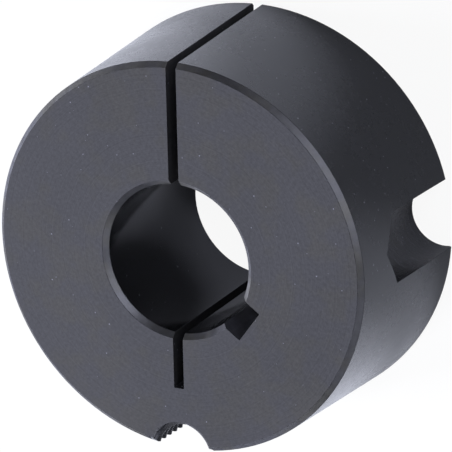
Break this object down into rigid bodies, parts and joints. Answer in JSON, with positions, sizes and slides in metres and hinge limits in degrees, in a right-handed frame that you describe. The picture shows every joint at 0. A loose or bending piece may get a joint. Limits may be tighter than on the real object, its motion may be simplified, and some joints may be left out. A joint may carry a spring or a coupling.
{
  "type": "taper lock bushing",
  "caption": "Split tapered shaft bushing with a keyed bore, blind locking half-holes and a jacking half-hole in its rim, standing on its large end.",
  "frame": {"origin": "centre of the large end face, on the bore's axis", "axes": "+Z along the bore's axis from the large end to the small end; +X through the middle of the keyway"},
  "size_m": [0.057, 0.057, 0.0254],
  "materials": {
    "blackened_iron": "blackened, machined matte faces and a smoother satin taper"
  },
  "bodies": {
    "root": {"bushing": "blackened_iron"}
  },
  "joints": []
}
